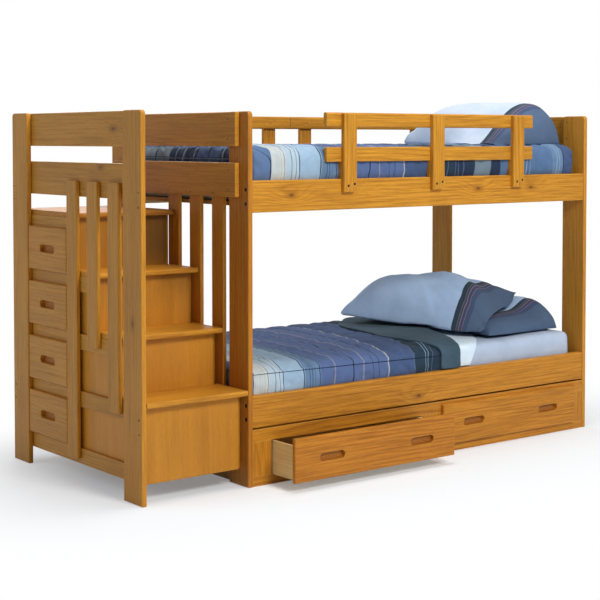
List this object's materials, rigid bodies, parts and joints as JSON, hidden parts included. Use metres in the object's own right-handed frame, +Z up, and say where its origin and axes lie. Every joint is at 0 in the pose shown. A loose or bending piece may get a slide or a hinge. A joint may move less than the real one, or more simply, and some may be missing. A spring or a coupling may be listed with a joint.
{
  "type": "bunk bed",
  "caption": "Pine bunk bed with a storage staircase at one end, drawers in the stairs and under the lower bunk, guard rails and blue bedding.",
  "frame": {"origin": "bottom centre of the bounding box, on the floor, with the left under-bed drawer open as in the picture", "axes": "+Z up, +X along the bed from the stairs to the head end, -Y is the front with the guard rail and the under-bed drawers"},
  "size_m": [2.556, 1.29, 1.5883],
  "materials": {
    "honey_pine": "satin lacquered pine",
    "slat_pine": "plain planed pine",
    "drawer_ply": "clear lacquered plywood",
    "dark_steel": "dark plated",
    "fitted_sheet": "woven cotton",
    "striped_comforter": "quilted cotton, striped",
    "blue_sheet": "woven cotton",
    "pillow_case": "woven cotton with a dark striped cuff"
  },
  "bodies": {
    "bed": {"stair_post_front": "honey_pine", "stair_post_rear": "honey_pine", "bed_post_left_front": "honey_pine", "bed_post_left_rear": "honey_pine", "bed_post_right_front": "honey_pine", "bed_post_right_rear": "honey_pine", "upper_side_rail_front": "honey_pine", "upper_side_rail_rear": "honey_pine", "lower_side_rail_front": "honey_pine", "lower_side_rail_rear": "honey_pine", "stair_end_rails": "honey_pine", "bed_left_end_rails": "honey_pine", "bed_right_end_rails": "honey_pine", "stair_end_slats": "honey_pine", "bed_left_slats": "honey_pine", "stair_outer_frame": "honey_pine", "stair_side_panels": "honey_pine", "stair_inner_panel": "honey_pine", "stair_treads": "honey_pine", "stair_landing": "honey_pine", "stair_risers": "honey_pine", "stair_back_panel": "slat_pine", "stair_drawer_runners": "slat_pine", "underbed_face_frame": "honey_pine", "underbed_carcass": "slat_pine", "underbed_runners": "slat_pine", "mattress_ledgers": "slat_pine", "upper_bed_slats": "slat_pine", "lower_bed_slats": "slat_pine", "guard_front_rails": "honey_pine", "guard_front_supports": "honey_pine", "guard_rear_rails": "honey_pine", "guard_rear_supports": "honey_pine", "guard_spacer_blocks": "honey_pine", "side_rail_bolts": "dark_steel", "barrel_nuts": "dark_steel", "guard_bolts": "dark_steel", "end_rail_screws": "dark_steel", "stair_screws": "dark_steel", "guard_screws": "dark_steel", "upper_mattress": "fitted_sheet", "lower_mattress": "fitted_sheet", "upper_comforter": "striped_comforter", "lower_comforter": "striped_comforter", "lower_top_sheet": "blue_sheet", "upper_pillow": "pillow_case", "lower_pillow_under": "pillow_case", "lower_pillow_top": "pillow_case"},
    "stair_drawer_1": {"stair_drawer_front_1": "honey_pine", "stair_drawer_box_1": "drawer_ply"},
    "stair_drawer_2": {"stair_drawer_front_2": "honey_pine", "stair_drawer_box_2": "drawer_ply"},
    "stair_drawer_3": {"stair_drawer_front_3": "honey_pine", "stair_drawer_box_3": "drawer_ply"},
    "stair_drawer_4": {"stair_drawer_front_4": "honey_pine", "stair_drawer_box_4": "drawer_ply"},
    "underbed_drawer_left": {"underbed_drawer_front_left": "honey_pine", "underbed_drawer_box_left": "drawer_ply"},
    "underbed_drawer_right": {"underbed_drawer_front_right": "honey_pine", "underbed_drawer_box_right": "drawer_ply"}
  },
  "joints": [
    {"name": "stair_drawer_1_slide", "type": "slide", "parent": "bed", "child": "stair_drawer_1", "axis": [-1, 0, 0], "range_m": [0, 0.32]},
    {"name": "stair_drawer_2_slide", "type": "slide", "parent": "bed", "child": "stair_drawer_2", "axis": [-1, 0, 0], "range_m": [0, 0.32]},
    {"name": "stair_drawer_3_slide", "type": "slide", "parent": "bed", "child": "stair_drawer_3", "axis": [-1, 0, 0], "range_m": [0, 0.32]},
    {"name": "stair_drawer_4_slide", "type": "slide", "parent": "bed", "child": "stair_drawer_4", "axis": [-1, 0, 0], "range_m": [0, 0.32]},
    {"name": "underbed_drawer_left_slide", "type": "slide", "parent": "bed", "child": "underbed_drawer_left", "axis": [0, -1, 0], "range_m": [-0.174, 0.246]},
    {"name": "underbed_drawer_right_slide", "type": "slide", "parent": "bed", "child": "underbed_drawer_right", "axis": [0, -1, 0], "range_m": [0, 0.42]}
  ]
}
